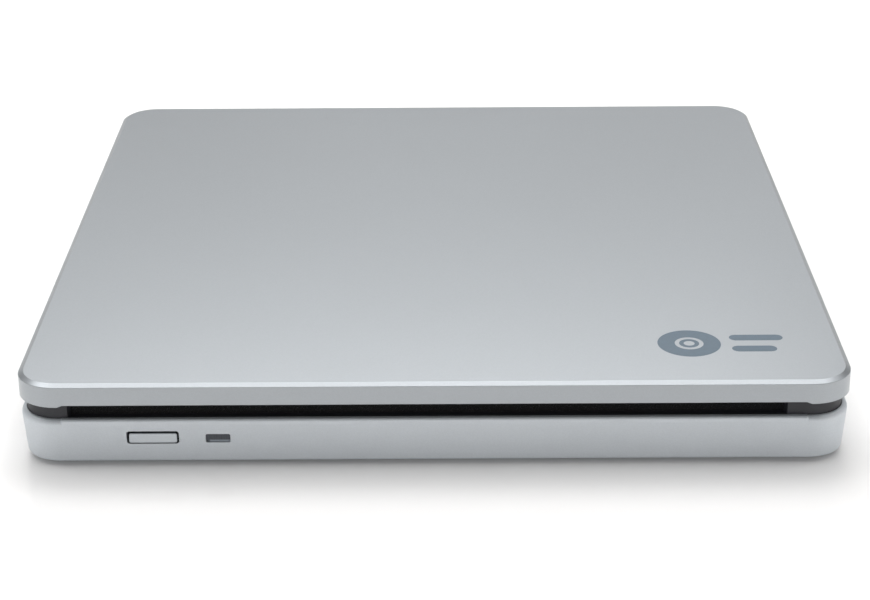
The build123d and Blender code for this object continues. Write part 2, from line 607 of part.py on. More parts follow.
# ---- loading mechanism ------------------------------------------------------------------------------------------------------------------------
def toothed(teeth, module, thin, phase_deg):
    """A spur gear's outline. thin is how much narrower than half a pitch each tooth is, for backlash."""
    pitch_r = teeth * module / 2
    root_r, tip_r = pitch_r - 1.2 * module, pitch_r + 0.9 * module
    half = math.pi * module / 4 - thin / 2
    flare = {root_r: 1.55 * half, pitch_r: half, tip_r: 0.45 * half}
    shape = Circle(root_r)
    for i in range(teeth):
        left = [(r, w) for r, w in flare.items()]
        points = [(r, -w) for r, w in left] + [(r, w) for r, w in reversed(left)]
        tooth = Polygon((root_r - 0.3, -1.5 * half), *points, (root_r - 0.3, 1.5 * half), align=None)
        shape += Rot(0, 0, phase_deg + i * 360 / teeth) * tooth
    return shape


def main_slider():
    """Cam slider: an upright wall with two sloping slots for the traverse's pins, and a toothed flange."""
    wall = block(SLIDER_A, SLIDER_B, SLIDER_Z)
    rise = (PIVOT_A - (SLIDER_A[0] + SLIDER_A[1]) / 2) * math.sin(math.radians(TILT_DEG))
    for b in CAM_PIN_BS:
        low, high = (b + 0.4, CAM_PIN_Z - rise), (b - SLIDER_TRAVEL - 0.4, CAM_PIN_Z)
        slope = math.degrees(math.atan2(high[1] - low[1], high[0] - low[0]))
        length = math.dist(low, high)
        slot = SlotCenterToCenter(length, 1.4)
        middle = Plane(origin=(SLIDER_A[0] - 1, (low[0] + high[0]) / 2, (low[1] + high[1]) / 2),
                       x_dir=(0, 1, 0), z_dir=(1, 0, 0))
        wall -= extrude(middle * Rot(0, 0, slope) * slot, amount=4)
    flange = block((RACK_A + 0.72, SLIDER_A[0] + 0.1), SLIDER_B, SLIDER_FLANGE_Z)
    for b in (-22.0, 24.0):
        flange -= prism(Pos(-31.2, b - SLIDER_TRAVEL / 2) * Rot(0, 0, 90) * SlotCenterToCenter(12.4, 1.9), (4, 5))
    pitch = math.pi * RACK_MODULE
    half = pitch / 4 - 0.06
    for i in range(-5, 5):
        b = GEAR_B + (i + 0.5) * pitch
        tooth = Polygon((RACK_A + 0.8, b - 1.5 * half), (RACK_A + 0.72, b - 1.5 * half), (RACK_A, b - half),
                        (RACK_A - 0.54, b - 0.5 * half), (RACK_A - 0.54, b + 0.5 * half), (RACK_A, b + half),
                        (RACK_A + 0.72, b + 1.5 * half), (RACK_A + 0.8, b + 1.5 * half), align=None)
        flange += prism(tooth, SLIDER_FLANGE_Z)
    return TRAVERSE_LEVEL * (wall + flange)


def slider_studs():
    """Headed studs on the case floor that guide the slider."""
    return group(
        TRAVERSE_LEVEL * (post(-31.2, b, 0.9, (CASE_FLOOR_Z[1], 5.0)) + post(-31.2, b, 1.5, (4.95, 5.3)))
        for b in (-22.0, 24.0))


def drive_gear():
    """Compound gear: a worm wheel above a pinion that meshes with the slider's teeth."""
    a = RACK_A - PINION_R
    pinion = prism(toothed(PINION_TEETH, RACK_MODULE, 0.12, 0), (4.15, 5.45))
    wheel = prism(toothed(WHEEL_TEETH, WHEEL_MODULE, 0.22, WHEEL_PHASE), WHEEL_Z)
    hub = post(0, 0, 3.0, (5.4, 6.8))
    gear = pinion + wheel + hub - post(0, 0, 1.0 + RUN_GAP, (4, 7))
    return TRAVERSE_LEVEL * Pos(a, GEAR_B, 0) * gear


WHEEL_PHASE = 180.0 / WHEEL_TEETH


def gear_stud():
    a = RACK_A - PINION_R
    stud = post(a, GEAR_B, 1.0, (CASE_FLOOR_Z[1], 7.1)) + post(a, GEAR_B, 1.7, (6.85, 7.2))
    return TRAVERSE_LEVEL * stud


def worm_axis_a():
    return RACK_A - PINION_R - WHEEL_R - WORM_R


def along_b(shape, b):
    """Turns a shape modelled about +Z so that it lies on the worm's axis, pointing along +B."""
    return TRAVERSE_LEVEL * Pos(worm_axis_a(), b, WORM_Z) * Rot(-90, 0, 0) * shape


def motor_worm():
    """Single-start worm on the loading motor's shaft."""
    lead = math.pi * WHEEL_MODULE
    turns = 6
    core = Pos(0, 0, -0.4) * Cylinder(WORM_R - 0.45, lead * turns + 0.8,
                                      align=(Align.CENTER, Align.CENTER, Align.MIN))
    shaft = Pos(0, 0, lead * turns) * Cylinder(0.6, 5.8, align=(Align.CENTER, Align.CENTER, Align.MIN))
    ridge = thread(lead, turns, WORM_R - 0.45, 0.36, 0.12, 0.75)
    start = GEAR_B - lead * (turns / 2)
    return along_b(core + shaft + ridge, start)


def loading_motor():
    """Flat-sided brush motor with a bearing boss and a bore for its shaft."""
    lead = math.pi * WHEEL_MODULE
    front = GEAR_B + 3 * lead + 2.0
    can = Pos(0, 0, front - GEAR_B) * extrude(RectangleRounded(7.6, 4.1, 1.9), amount=10)
    boss = Pos(0, 0, front - GEAR_B - 0.4) * Cylinder(1.3, 0.5, align=(Align.CENTER, Align.CENTER, Align.MIN))
    bore = Pos(0, 0, front - GEAR_B - 1) * Cylinder(0.65, 6.0, align=(Align.CENTER, Align.CENTER, Align.MIN))
    return along_b(can + boss - bore, GEAR_B)


def arm(pivot, length, angle_deg):
    """A flat lever with a pivot hole, a lightening hole and an upright pin at its tip."""
    tip = (length * math.cos(math.radians(angle_deg)), length * math.sin(math.radians(angle_deg)))
    hull = make_hull([Circle(4.0).edge(), (Pos(*tip) * Circle(1.6)).edge()])
    lever = prism(hull, ARM_Z) - post(0, 0, ARM_STUD_R + RUN_GAP, (8, 10))
    mid = (tip[0] * 0.42, tip[1] * 0.42)
    lever -= prism(Pos(*mid) * Rot(0, 0, angle_deg) * SlotCenterToCenter(length * 0.3, 2.4), (8, 10))
    lever += post(*tip, 0.7, (ARM_Z[0], 11.75))
    return on_drive(Pos(*pivot) * lever)


def arm_roller(pivot, length, angle_deg, roller_r):
    """Rubber sleeve on an arm's pin, waisted where it meets the disc's edge."""
    tip = (length * math.cos(math.radians(angle_deg)), length * math.sin(math.radians(angle_deg)))
    sleeve = post(*tip, roller_r, (9.3, 11.6)) - post(*tip, 0.7, (9, 12))
    waist = Pos(tip[0], tip[1], 10.2) * Torus(roller_r + 0.5, 0.8)
    return on_drive(Pos(*pivot) * (sleeve - waist))


def arm_studs():
    """Shouldered studs on the case floor that the three arms turn on."""
    studs = []
    for x, y in (EJECT_PIVOT, SIDE_PIVOT, (-SIDE_PIVOT[0], SIDE_PIVOT[1])):
        stud = post(x, y, ARM_STUD_R, (CASE_FLOOR_Z[1], 9.6)) + post(x, y, 2.6, (CASE_FLOOR_Z[1], 8.5))
        studs.append(on_drive(stud))
    return group(studs)


def arm_clips():
    """Split retaining rings on the arms' studs."""
    clips = []
    for x, y in (EJECT_PIVOT, SIDE_PIVOT, (-SIDE_PIVOT[0], SIDE_PIVOT[1])):
        ring = post(x, y, 2.5, (9.25, 9.5)) - post(x, y, ARM_STUD_R, (9, 10)) - block(
            (x - 0.6, x + 0.6), (y + 1, y + 3), (9, 10))
        clips.append(on_drive(ring))
    return group(clips)


# ---- drive electronics -------------------------------------------------------------------------------------------------------------------
def main_board():
    """Control board in the corner behind the slider, clear of the traverse and the arm's stud."""
    edge = Polygon((26, 8), (60.5, 8), (60.5, 56), (-17, 56), (-20, 53.5), align=None)
    board = prism(edge, (4.4, 5.2)) - post(*EJECT_PIVOT, 2.9, (4, 6))
    return on_drive(board)


def controller_chips():
    """Controller, memory, motor driver, regulators and passives on the control board."""
    z = 5.2
    parts = [((31, 45), (20, 34), 1.2), ((47.5, 57.5), (22, 28), 1.0), ((20, 29), (38, 47), 1.1),
             ((48, 53), (12, 17), 1.0), ((33, 37), (11, 13.5), 1.4), ((39, 43), (11, 13.5), 1.4)]
    small = [((2 + 4 * i, 3.6 + 4 * i), (51.6, 52.4), 0.5) for i in range(6)]
    return group(on_drive(block(x, y, (z, z + h))) for x, y, h in parts + small)


def cable_sockets():
    """Low sockets for flat cables: the front board's, the pickup's and the motors'."""
    low = BRIDGE_BOARD_Z[1]
    sockets = [block((22.4, 25.4), (59.4, 64.6), (low, 4.2)) - block((22, 23.0), (60, 64), (3.5, 3.65))]
    for x, y in ((12.0, 33.0), (0.0, 45.0)):
        body = Box(11, 2.4, 1.2) - Pos(0, -0.9, 0.1) * Box(9.4, 0.8, 0.4)
        sockets.append(on_drive(Pos(x, y, 5.8) * Rot(0, 0, 135) * body))
    return group(sockets)


# ---- build -------------------------------------------------------------------------------------------------------------------------------------
def ride_traverse(shape):
    """Puts a piece of the traverse, modelled level, in its lowered resting place."""
    return TRAVERSE_FRAME * shape


def build():
    os.makedirs("parts", exist_ok=True)
    left_side = (-SIDE_PIVOT[0], SIDE_PIVOT[1])
    nodes = {
        "top_cover": top_cover(),
        "base_shell": base_shell(),
        "mid_frame": mid_frame(),
        "slot_felts": slot_felts(),
        "rubber_feet": rubber_feet(),
        "casing_screws": casing_screws(),
        "drive_screws": drive_screws(),
        "label_plate": label_plate(),
        "eject_button": eject_button(),
        "led_window": led_window(),
        "front_board": front_board(),
        "eject_switch": eject_switch(),
        "switch_plunger": switch_plunger(),
        "status_led": status_led(),
        "usb_shell": usb_shell(),
        "usb_tongue": usb_tongue(),
        "usb_contacts": usb_contacts(),
        "bridge_board": bridge_board(),
        "bridge_screws": bridge_screws(),
        "bridge_chips": bridge_chips(),
        "drive_connector": drive_connector(),
        "lower_case": lower_case(),
        "upper_case": upper_case(),
        "pivot_bushes": pivot_bushes(),
        "traverse_frame": ride_traverse(traverse_frame()),
        "guide_rods": ride_traverse(guide_rods()),
        "sled_motor": ride_traverse(sled_motor()),
        "lead_screw": ride_traverse(lead_screw()),
        "spindle_base": ride_traverse(spindle_base()),
        "spindle_stator": ride_traverse(spindle_stator()),
        "motor_screws": motor_screws(),
        "spindle_rotor": ride_traverse(spindle_rotor()),
        "turntable_mat": ride_traverse(turntable_mat()),
        "clamp_hub": ride_traverse(clamp_hub()),
        "sled": ride_traverse(sled()),
        "rack_follower": ride_traverse(rack_follower()),
        "lens_carrier": ride_traverse(lens_carrier()),
        "objective_lens": ride_traverse(objective_lens()),
        "lens_magnets": ride_traverse(lens_magnets()),
        "main_slider": main_slider(),
        "slider_studs": slider_studs(),
        "drive_gear": drive_gear(),
        "gear_stud": gear_stud(),
        "motor_worm": motor_worm(),
        "loading_motor": loading_motor(),
        "eject_arm": arm(EJECT_PIVOT, EJECT_ARM_LENGTH, EJECT_ARM_DEG),
        "eject_arm_roller": arm_roller(EJECT_PIVOT, EJECT_ARM_LENGTH, EJECT_ARM_DEG, 1.3),
        "right_arm": arm(SIDE_PIVOT, SIDE_ARM_LENGTH, SIDE_ARM_DEG),
        "right_arm_roller": arm_roller(SIDE_PIVOT, SIDE_ARM_LENGTH, SIDE_ARM_DEG, 1.7),
        "left_arm": arm(left_side, SIDE_ARM_LENGTH, 180 - SIDE_ARM_DEG),
        "left_arm_roller": arm_roller(left_side, SIDE_ARM_LENGTH, 180 - SIDE_ARM_DEG, 1.7),
        "arm_studs": arm_studs(),
        "arm_clips": arm_clips(),
        "main_board": main_board(),
        "controller_chips": controller_chips(),
        "cable_sockets": cable_sockets(),
        "front_cable": front_cable(),
    }
    for index in range(3):
        nodes[f"clamp_catch_{index + 1}"] = ride_traverse(clamp_catch(index))
    for name, shape in nodes.items():
        save(name, shape)


build()
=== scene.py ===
import json
import math
import random

import bpy
from mathutils import Matrix, Vector


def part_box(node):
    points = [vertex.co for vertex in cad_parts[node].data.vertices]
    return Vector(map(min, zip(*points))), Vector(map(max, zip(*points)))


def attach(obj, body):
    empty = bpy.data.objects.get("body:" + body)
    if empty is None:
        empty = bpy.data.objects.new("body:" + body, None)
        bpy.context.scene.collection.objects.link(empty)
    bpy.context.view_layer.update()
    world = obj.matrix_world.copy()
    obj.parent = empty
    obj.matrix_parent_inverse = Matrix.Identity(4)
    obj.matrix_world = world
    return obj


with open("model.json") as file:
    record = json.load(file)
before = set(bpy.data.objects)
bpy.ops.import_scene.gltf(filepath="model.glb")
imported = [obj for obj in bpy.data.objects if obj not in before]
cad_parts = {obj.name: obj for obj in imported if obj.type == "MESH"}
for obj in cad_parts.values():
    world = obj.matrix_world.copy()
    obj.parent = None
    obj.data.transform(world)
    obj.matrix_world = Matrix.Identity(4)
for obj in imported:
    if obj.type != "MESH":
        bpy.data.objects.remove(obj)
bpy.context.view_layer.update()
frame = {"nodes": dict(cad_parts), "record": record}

scene = bpy.context.scene
scene.view_settings.view_transform = "Standard"
MM = 0.001


# ---- camera -------------------------------------------------------------------------------------------
CAMERA_PLACE = Vector((1.648, -398.486, 171.04)) * MM
CAMERA_ANGLES = (0.40803, 0.0042474, -0.0071108)
FOCAL_LENGTH = 88.83


def place_camera():
    """A long lens a little above the drive's front, turned by pitch, yaw and roll."""
    pitch, yaw, roll = CAMERA_ANGLES
    right = Vector((math.cos(yaw), math.sin(yaw), 0))
    ahead = Vector((-math.sin(yaw) * math.cos(pitch), math.cos(yaw) * math.cos(pitch), -math.sin(pitch)))
    up = right.cross(ahead)
    side = right * math.cos(roll) + up * math.sin(roll)
    top = up * math.cos(roll) - right * math.sin(roll)
    camera = bpy.data.objects.new("camera", bpy.data.cameras.new("camera"))
    camera.data.sensor_width = 36.0
    camera.data.lens = FOCAL_LENGTH
    camera.data.clip_start = 0.01
    camera.data.clip_end = 50.0
    turn = Matrix((side, top, -ahead)).transposed().to_4x4()
    camera.matrix_world = Matrix.Translation(CAMERA_PLACE) @ turn
    scene.collection.objects.link(camera)
    scene.camera = camera


# ---- finishes -----------------------------------------------------------------------------------------
# The wave texture's scale for one band in each unit of length.
ONE_BAND = 0.31416


class Finish:
    """A material of procedural nodes in the part's own coordinates, ending in a Principled shader.

    made is an earlier finish to add to, in place of a new one.
    """

    def __init__(self, name, sockets, made=None):
        self.made = made or bpy.data.materials.new(name)
        self.made.use_nodes = True
        self.tree = self.made.node_tree
        self.shader = self.tree.nodes["Principled BSDF"]
        self.space = self.tree.nodes.new("ShaderNodeTexCoord").outputs["Object"]
        for socket, value in sockets.items():
            self.shader.inputs[socket].default_value = value

    def feed(self, socket, value):
        if isinstance(value, bpy.types.NodeSocket):
            self.tree.links.new(value, socket)
        else:
            socket.default_value = value

    def add(self, kind, inputs, **settings):
        node = self.tree.nodes.new("ShaderNode" + kind)
        for key, value in settings.items():
            setattr(node, key, value)
        for key, value in inputs.items():
            self.feed(node.inputs[key], value)
        return node

    def seen_from(self, centre=(0, 0, 0), turn=(0, 0, 0), stretch=(1, 1, 1)):
        """The part's coordinates about a centre, turned by degrees, and stretched along each axis."""
        return self.add("Mapping", {
            "Vector": self.space,
            "Location": Vector(centre) * MM,
            "Rotation": [math.radians(t) for t in turn],
            "Scale": stretch,
        }, vector_type="TEXTURE").outputs[0]

    def noise(self, size, detail=2.0, space=None, distortion=0.0, rough=0.5):
        """Cloudy noise with features of a size in millimetres."""
        return self.add("TexNoise", {
            "Vector": space or self.space,
            "Scale": 1 / (size * MM),
            "Detail": detail,
            "Roughness": rough,
            "Distortion": distortion,
        }).outputs[0]

    def cells(self, size, space=None, output="Color"):
        """A mosaic of random cells of a size in millimetres."""
        return self.add("TexVoronoi", {
            "Vector": space or self.space,
            "Scale": 1 / (size * MM),
        }).outputs[output]

    def bands(self, pitch, way="X", space=None, kind="BANDS", distortion=0.0, detail=0.0):
        """Parallel bands or rings at a pitch in millimetres."""
        settings = {"wave_type": kind}
        settings["bands_direction" if kind == "BANDS" else "rings_direction"] = way
        return self.add("TexWave", {
            "Vector": space or self.space,
            "Scale": ONE_BAND / (pitch * MM),
            "Distortion": distortion,
            "Detail": detail,
        }, **settings).outputs[1]

    def part(self, colour, channel=0):
        """One channel of a colour, for a second independent value out of the same cells."""
        return self.add("SeparateColor", {"Color": colour}).outputs[channel]

    def fit(self, value, low, high, low_in=0.0, high_in=1.0):
        """A value between low_in and high_in, brought to between low and high."""
        return self.add("MapRange", {
            "Value": value,
            "From Min": low_in,
            "From Max": high_in,
            "To Min": low,
            "To Max": high,
        }).outputs[0]

    def sums(self, how, a, b):
        return self.add("Math", {0: a, 1: b}, operation=how).outputs[0]

    def shades(self, value, *stops):
        """A colour ramp. Each stop is a place and a colour."""
        node = self.tree.nodes.new("ShaderNodeValToRGB")
        ramp = node.color_ramp
        while len(ramp.elements) < len(stops):
            ramp.elements.new(0.5)
        for element, (place, colour) in zip(ramp.elements, stops):
            element.position = place
            element.color = (*colour, 1.0)
        self.feed(node.inputs[0], value)
        return node.outputs[0]

    def mix(self, share, a, b):
        """Colour a, giving way to colour b as share grows to 1."""
        node = self.add("Mix", {}, data_type="RGBA")
        for socket, value in ((node.inputs[0], share), (node.inputs[6], a), (node.inputs[7], b)):
            if isinstance(value, tuple) and len(value) == 3:
                value = (*value, 1.0)
            self.feed(socket, value)
        return node.outputs[2]

    def worn(self, low=0.5, high=0.56):
        """Grows from 0 to 1 where the surface turns sharply outwards."""
        edge = self.add("NewGeometry", {}).outputs["Pointiness"]
        return self.fit(edge, 0.0, 1.0, low, high)

    def relief(self, height, depth, under=None):
        """Bump with a depth in millimetres, over another one or none."""
        inputs = {"Height": height, "Distance": depth * MM}
        if under is not None:
            inputs["Normal"] = under
        return self.add("Bump", inputs).outputs[0]

    def done(self, colour=None, rough=None, normal=None):
        for socket, value in (("Base Color", colour), ("Roughness", rough), ("Normal", normal)):
            if value is not None:
                self.feed(self.shader.inputs[socket], value)
        return self.made


def tint(colour, factor):
    return tuple(c * factor for c in colour)


def middle(node):
    """The middle of a CAD node's box, in millimetres."""
    low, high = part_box(node)
    return (low + high) / 2 / MM


def silver_paint(name, colour, metal, rough):
    """Paint with fine metal flakes that catch the light one by one, over a faint orange peel."""
    f = Finish(name, {"Metallic": metal})
    flakes = f.cells(0.16)
    drift = f.noise(38.0, 3.0)
    lit = f.sums("ADD", f.sums("MULTIPLY", f.part(flakes), 0.75), f.sums("MULTIPLY", drift, 0.25))
    tone = f.shades(lit, (0.1, tint(colour, 0.975)), (0.5, colour), (0.9, tint(colour, 1.025)))
    peel = f.relief(f.noise(1.1, 1.0), 0.0004)
    sparkle = f.relief(f.part(flakes, 1), 0.0003, under=peel)
    return f.done(tone, f.fit(f.part(flakes, 2), rough - 0.02, rough + 0.02), sparkle)


def painted_key(name, colour, metal, rough):
    """The same paint on the face of a dark moulded key. Behind its face the key is dark: its moulded colour,
    and painted shade in the gap round it.
    """
    made = silver_paint(name, colour, metal, rough)
    f = Finish(name, {}, made)
    paint = f.shader.inputs["Base Color"].links[0].from_socket
    depth = f.add("SeparateXYZ", {"Vector": f.space}).outputs[1]
    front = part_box("eject_button")[0].y
    # Dark behind the painted face: the key's moulded colour and painted shade in the gap round the key.
    bare_sides_and_gap_shade = f.fit(depth, 0.0, 1.0, front + 0.2 * MM, front + 0.3 * MM)
    f.feed(f.shader.inputs["Base Color"], f.mix(bare_sides_and_gap_shade, paint, (0.045, 0.046, 0.05)))
    return made


def moulded(name, colour, rough, grain=0.11, depth=0.006, variation=0.12, sockets=None):
    """Moulded plastic with a spark-eroded grain and slow changes of gloss where it flowed."""
    f = Finish(name, sockets or {})
    fine = f.noise(grain, 3.0, rough=0.6)
    pits = f.cells(grain * 1.7, output="Distance")
    flow = f.noise(9.0, 2.0, distortion=1.2)
    tone = f.shades(fine, (0.3, tint(colour, 1 - variation)), (0.7, tint(colour, 1 + variation)))
    height = f.sums("ADD", fine, f.sums("MULTIPLY", pits, 0.6))
    return f.done(tone, f.fit(flow, rough - 0.05, rough + 0.06, 0.3, 0.7), f.relief(height, depth))


def rubber(name, colour, centres=None, rings=0.0):
    """Matt rubber with a fine bloom, and fine turned rings where it was moulded round."""
    f = Finish(name, {"Specular IOR Level": 0.4, "Sheen Weight": 0.12, "Sheen Roughness": 0.5})
    bloom = f.noise(2.6, 4.0, rough=0.65)
    fine = f.noise(0.08, 2.0)
    height = fine
    if rings:
        height = f.sums("ADD", fine, f.bands(rings, "Z", f.seen_from(centres), kind="RINGS"))
    tone = f.shades(bloom, (0.25, tint(colour, 0.75)), (0.75, tint(colour, 1.35)))
    return f.done(tone, f.fit(bloom, 0.68, 0.88, 0.25, 0.75), f.relief(height, 0.006))


def felt(name):
    """Short black nap: fibres that lie every way, with a faint sheen where they stand up."""
    f = Finish(name, {"Sheen Weight": 0.25, "Sheen Roughness": 0.55, "Specular IOR Level": 0.15})
    one = f.noise(0.09, 3.0, f.seen_from(turn=(20, 35, 12), stretch=(6, 1, 1)))
    two = f.noise(0.09, 3.0, f.seen_from(turn=(-30, 10, 70), stretch=(1, 5, 1)))
    fibres = f.sums("MAXIMUM", one, two)
    tone = f.shades(fibres, (0.35, (0.0035, 0.0035, 0.004)), (0.75, (0.014, 0.014, 0.015)))
    return f.done(tone, f.fit(fibres, 0.88, 1.0), f.relief(fibres, 0.05))


def plated(name, colour, rough, grain_way, grain):
    """Plated or rolled metal: fine parallel grain, cloudy plating and a few stains."""
    f = Finish(name, {"Metallic": 1.0})
    lines = f.noise(grain, 2.0, f.seen_from(stretch=grain_way))
    cloud = f.noise(6.0, 4.0, rough=0.6)
    lit = f.sums("ADD", f.sums("MULTIPLY", lines, 0.5), f.sums("MULTIPLY", cloud, 0.5))
    tone = f.shades(lit, (0.3, tint(colour, 0.94)), (0.7, tint(colour, 1.06)))
    return f.done(tone, f.fit(lit, rough - 0.07, rough + 0.1, 0.3, 0.7), f.relief(lines, 0.0016))


def galvanised(name, colour):
    """Zinc-coated sheet with its spangle and rolling lines."""
    f = Finish(name, {"Metallic": 1.0})
    spangle = f.cells(2.4, f.seen_from(stretch=(1.0, 1.6, 1.0)))
    lines = f.noise(0.07, 2.0, f.seen_from(stretch=(1, 60, 1)))
    lit = f.sums("ADD", f.sums("MULTIPLY", f.part(spangle), 0.55), f.sums("MULTIPLY", lines, 0.45))
    tone = f.shades(lit, (0.15, tint(colour, 0.82)), (0.85, tint(colour, 1.12)))
    rough = f.fit(f.part(spangle, 1), 0.3, 0.46)
    return f.done(tone, rough, f.relief(lines, 0.0015))


def screw_head(name, colour, rough):
    """Plated screw with turning marks, brighter where the driver has rubbed the plating."""
    f = Finish(name, {"Metallic": 1.0})
    marks = f.bands(0.35, "X", kind="RINGS", distortion=1.5, detail=2.0)
    mottle = f.noise(0.5, 3.0)
    tone = f.shades(mottle, (0.3, tint(colour, 0.8)), (0.7, tint(colour, 1.15)))
    tone = f.mix(f.worn(), tone, (0.42, 0.41, 0.39))
    return f.done(tone, f.fit(mottle, rough - 0.06, rough + 0.1), f.relief(marks, 0.002))


def cast_metal(name, colour):
    """Die-cast alloy: pimpled skin, flow clouds and lighter, rubbed edges."""
    f = Finish(name, {"Metallic": 0.85})
    skin = f.noise(0.22, 5.0, rough=0.65)
    cloud = f.noise(5.0, 3.0, distortion=1.5)
    tone = f.shades(cloud, (0.3, tint(colour, 0.82)), (0.7, tint(colour, 1.12)))
    tone = f.mix(f.worn(0.5, 0.6), tone, tint(colour, 1.5))
    return f.done(tone, f.fit(skin, 0.42, 0.62), f.relief(skin, 0.012))


def turned(name, colour, centre, way, pitch=0.12, rough=0.2):
    """Metal turned on a lathe: fine rings about an axis, with a bright ground finish."""
    f = Finish(name, {"Metallic": 1.0})
    rings = f.bands(pitch, way, f.seen_from(centre), kind="RINGS", distortion=0.6, detail=2.0)
    haze = f.noise(3.0, 3.0)
    tone = f.shades(haze, (0.3, tint(colour, 0.94)), (0.7, tint(colour, 1.04)))
    return f.done(tone, f.fit(haze, rough - 0.05, rough + 0.08), f.relief(rings, 0.0012))


def solder_mask(name, turn=(0, 0, 0)):
    """Green board with raised tracks, a copper-filled ground, tinned pads and vias."""
    f = Finish(name, {"Specular IOR Level": 0.5, "Coat Weight": 0.35, "Coat Roughness": 0.18})
    flat = f.seen_from(turn=turn)
    course = f.add("TexBrick", {
        "Vector": flat,
        "Scale": 1 / MM,
        "Mortar Size": 0.06,
        "Mortar Smooth": 0.15,
        "Brick Width": 2.3,
        "Row Height": 0.55,
    }, offset=0.37, squash=0.6, squash_frequency=3).outputs["Fac"]
    vias = f.cells(1.9, flat, output="Distance")
    pad = f.fit(vias, 1.0, 0.0, 0.13, 0.16)
    hole = f.fit(vias, 1.0, 0.0, 0.05, 0.07)
    ground = f.noise(11.0, 0.0, flat)
    poured = f.fit(ground, 0.0, 1.0, 0.5, 0.505)
    tracks = f.sums("MAXIMUM", f.fit(course, 1.0, 0.0), poured)
    weave = f.noise(0.25, 1.0, flat)
    mask = f.shades(f.sums("ADD", f.sums("MULTIPLY", tracks, 0.7), f.sums("MULTIPLY", weave, 0.3)),
                    (0.1, (0.004, 0.045, 0.018)), (0.9, (0.012, 0.12, 0.045)))
    tone = f.mix(pad, mask, (0.62, 0.6, 0.55))
    tone = f.mix(hole, tone, (0.01, 0.01, 0.01))
    rough = f.fit(pad, 0.34, 0.22)
    return f.done(tone, rough, f.relief(f.sums("ADD", tracks, pad), 0.02))


def chip(name):
    """Moulded epoxy: fine sand-like grain with a greyer bloom and rubbed corners."""
    f = Finish(name, {"Specular IOR Level": 0.45})
    sand = f.noise(0.06, 4.0, rough=0.7)
    bloom = f.noise(1.6, 2.0)
    tone = f.shades(bloom, (0.3, (0.008, 0.008, 0.009)), (0.7, (0.021, 0.021, 0.022)))
    tone = f.mix(f.worn(), tone, (0.05, 0.05, 0.05))
    return f.done(tone, f.fit(sand, 0.5, 0.72), f.relief(sand, 0.006))


def smoked_pane(name):
    """Smoked light pipe: faint upright flutes that spread the light, and a paler strip along its lower edge,
    painted light standing in for the lit ledge of its opening.
    """
    f = Finish(name, {"Coat Weight": 0.6, "Coat Roughness": 0.08, "IOR": 1.49})
    flutes = f.bands(0.42, "X", distortion=0.15)
    haze = f.noise(0.5, 3.0)
    lit = f.sums("ADD", f.sums("MULTIPLY", flutes, 0.35), f.sums("MULTIPLY", haze, 0.65))
    tone = f.shades(lit, (0.25, (0.018, 0.025, 0.035)), (0.75, (0.030, 0.039, 0.052)))
    place = f.add("SeparateXYZ", {"Vector": f.seen_from(middle("led_window"))})
    # Painted light: a paler strip along the pane's lower edge, standing in for the lit ledge under it.
    painted_ledge_light = f.fit(place.outputs[2], 1.0, 0.0, -0.62 * MM, -0.34 * MM)
    painted_ledge_light = f.sums("MULTIPLY", painted_ledge_light, f.fit(place.outputs[0], 0.0, 1.0, -1.6 * MM, -1.3 * MM))
    tone = f.mix(painted_ledge_light, tone, (0.30, 0.34, 0.39))
    return f.done(tone, f.fit(haze, 0.24, 0.36), f.relief(flutes, 0.004))


def clear_resin(name, colour):
    """Clear cast resin with a milky core."""
    f = Finish(name, {"Transmission Weight": 0.55, "IOR": 1.52})
    milk = f.noise(0.4, 3.0)
    tone = f.shades(milk, (0.3, tint(colour, 0.85)), (0.7, colour))
    return f.done(tone, f.fit(milk, 0.08, 0.22), f.relief(milk, 0.003))


def coated_lens(name):
    """Pickup lens with a violet-blue coating and faint moulding rings."""
    f = Finish(name, {
        "Transmission Weight": 0.35,
        "IOR": 1.54,
        "Thin Film Thickness": 320.0,
        "Thin Film IOR": 1.38,
    })
    rings = f.bands(0.5, "Z", f.seen_from(middle("objective_lens")), kind="RINGS")
    tone = f.shades(rings, (0.0, (0.10, 0.12, 0.26)), (1.0, (0.17, 0.19, 0.36)))
    return f.done(tone, f.fit(rings, 0.03, 0.07), f.relief(rings, 0.0004))


def enamelled_wire(name, centre):
    """Coils of enamelled wire wound side by side on the motor's teeth."""
    f = Finish(name, {"Metallic": 0.9, "Coat Weight": 0.5, "Coat Roughness": 0.12})
    turns = f.bands(0.16, "Z", f.seen_from(centre), kind="RINGS", distortion=0.8, detail=1.0)
    # Painted shade and highlight: the copper is near black in the grooves between turns and bright on their
    # crowns.
    tone = f.shades(turns, (0.0, (0.16, 0.045, 0.015)), (0.6, (0.62, 0.24, 0.09)), (1.0, (0.78, 0.34, 0.14)))
    return f.done(tone, f.fit(turns, 0.4, 0.24), f.relief(turns, 0.04))


def flat_cable(name):
    """White cable film with its row of conductors showing through."""
    f = Finish(name, {"Coat Weight": 0.3, "Coat Roughness": 0.25, "Specular IOR Level": 0.5})
    wires = f.bands(0.5)
    grime = f.noise(5.0, 3.0)
    tone = f.shades(wires, (0.1, (0.74, 0.75, 0.76)), (0.6, (0.66, 0.68, 0.7)), (0.95, (0.5, 0.5, 0.49)))
    tone = f.mix(f.fit(grime, 0.0, 0.12), tone, (0.45, 0.43, 0.4))
    return f.done(tone, f.fit(grime, 0.36, 0.5), f.relief(wires, 0.02))


def label_film(name):
    """Satin silver film with a fine brushed print and a few trapped air specks."""
    f = Finish(name, {"Metallic": 0.35, "Coat Weight": 0.2, "Coat Roughness": 0.2})
    brushed = f.noise(0.1, 2.0, f.seen_from(stretch=(40, 1, 1)))
    specks = f.fit(f.cells(3.2, output="Distance"), 1.0, 0.0, 0.05, 0.09)
    tone = f.shades(brushed, (0.3, (0.55, 0.56, 0.57)), (0.7, (0.66, 0.67, 0.68)))
    height = f.sums("ADD", f.sums("MULTIPLY", brushed, 0.15), specks)
    return f.done(tone, f.fit(brushed, 0.3, 0.42), f.relief(height, 0.008))


